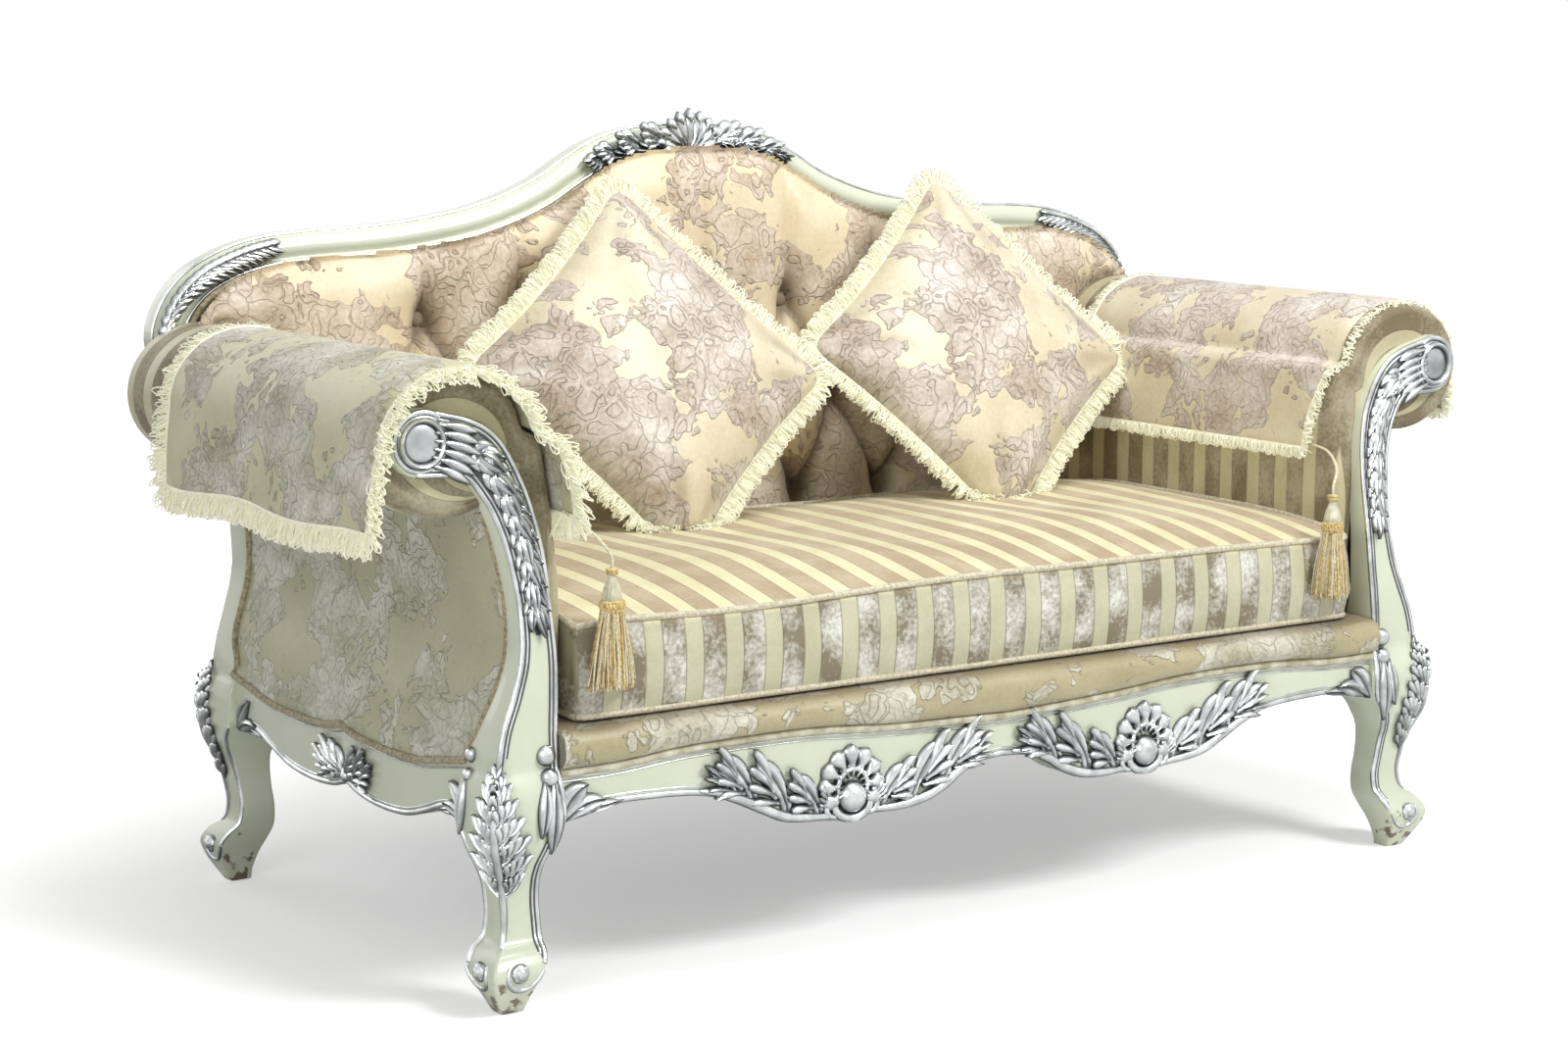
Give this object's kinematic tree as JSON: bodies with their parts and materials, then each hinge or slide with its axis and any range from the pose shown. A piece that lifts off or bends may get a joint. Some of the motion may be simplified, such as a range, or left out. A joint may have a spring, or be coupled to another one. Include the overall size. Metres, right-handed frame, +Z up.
{
  "type": "cabriole sofa",
  "caption": "Carved cabriole sofa with tufted back, scrolled arms, loose seat cushion, throw pillows and fringed arm covers with tassels.",
  "frame": {"origin": "on the floor, centred between the feet, under the middle of the frame's overall box without the tassels", "axes": "+X along the seat towards the right as seen from the front, +Y from the front rail to the back, +Z up"},
  "size_m": [1.8492, 0.8665, 1.078],
  "materials": {
    "frame_lacquer": "pale greenish-cream gloss lacquer with silvered edges, lightly worn",
    "silver_leaf": "burnished silver leaf over carving, dark in the recesses",
    "damask": "champagne satin ground with raised taupe velvet leaf pattern",
    "striped_satin": "stripes of taupe velvet and cream satin",
    "tassel_silk": "pale gold spun silk",
    "beech": "plain sawn",
    "webbing": "woven jute",
    "cambric": "thin black cloth",
    "steel": "bright zinc"
  },
  "bodies": {
    "frame": {"apron_carving_left": "silver_leaf", "apron_carving_right": "silver_leaf", "arm_pad_left": "striped_satin", "arm_pad_right": "striped_satin", "arm_rail_left": "beech", "arm_rail_right": "beech", "back_frame": "beech", "back_upholstery": "damask", "back_webbing": "webbing", "crest_carving": "silver_leaf", "drop_ornament_left": "silver_leaf", "drop_ornament_right": "silver_leaf", "dust_cover": "cambric", "front_corner_block_left": "beech", "front_corner_block_right": "beech", "front_corner_bolt_left": "steel", "front_corner_bolt_right": "steel", "front_knee_leaf_left": "silver_leaf", "front_knee_leaf_right": "silver_leaf", "front_post_left": "frame_lacquer", "front_post_right": "frame_lacquer", "front_rail": "frame_lacquer", "leaf_band_left": "silver_leaf", "leaf_band_right": "silver_leaf", "outer_panel_left": "damask", "outer_panel_right": "damask", "outside_back": "damask", "rear_corner_block_left": "beech", "rear_corner_block_right": "beech", "rear_corner_bolt_left": "steel", "rear_corner_bolt_right": "steel", "rear_knee_leaf_left": "silver_leaf", "rear_knee_leaf_right": "silver_leaf", "rear_post_left": "frame_lacquer", "rear_post_right": "frame_lacquer", "rear_rail": "frame_lacquer", "scroll_button_left": "silver_leaf", "scroll_button_right": "silver_leaf", "seat_deck": "damask", "seat_webbing": "webbing", "shoulder_carving_left": "silver_leaf", "shoulder_carving_right": "silver_leaf", "side_carving_left": "silver_leaf", "side_carving_right": "silver_leaf", "side_rail_left": "frame_lacquer", "side_rail_right": "frame_lacquer", "top_rail": "frame_lacquer"},
    "seat_cushion": {"seat_cushion": "striped_satin"},
    "pillow_left": {"pillow_left": "damask"},
    "pillow_right": {"pillow_right": "damask"},
    "arm_cover_left": {"arm_cover_left": "damask"},
    "arm_cover_right": {"arm_cover_right": "damask"},
    "tassel_left": {"tassel_left": "tassel_silk", "tassel_cord_left": "tassel_silk"},
    "tassel_right": {"tassel_right": "tassel_silk", "tassel_cord_right": "tassel_silk"}
  },
  "joints": [
    {"name": "seat_cushion_lift", "type": "slide", "parent": "frame", "child": "seat_cushion", "axis": [0, 0, 1], "range_m": [0, 0.7], "deforming": ["tassel_cord_left", "tassel_cord_right"]},
    {"name": "pillow_left_lift", "type": "slide", "parent": "seat_cushion", "child": "pillow_left", "axis": [0, 0, 1], "range_m": [0, 0.6]},
    {"name": "pillow_right_lift", "type": "slide", "parent": "seat_cushion", "child": "pillow_right", "axis": [0, 0, 1], "range_m": [0, 0.6]},
    {"name": "arm_cover_left_lift", "type": "slide", "parent": "frame", "child": "arm_cover_left", "axis": [0, 0, 1], "range_m": [0, 0.5]},
    {"name": "arm_cover_right_lift", "type": "slide", "parent": "frame", "child": "arm_cover_right", "axis": [0, 0, 1], "range_m": [0, 0.5]},
    {"name": "tassel_left_swing", "type": "hinge", "parent": "arm_cover_left", "child": "tassel_left", "pos_m": [-0.6505, -0.3698, 0.6145], "axis": [-1, 0, 0], "range_deg": [0, 60], "deforming": ["tassel_cord_left"]},
    {"name": "tassel_right_swing", "type": "hinge", "parent": "arm_cover_right", "child": "tassel_right", "pos_m": [0.6495, -0.3138, 0.5985], "axis": [-1, 0, 0], "range_deg": [0, 60], "deforming": ["tassel_cord_right"]}
  ]
}
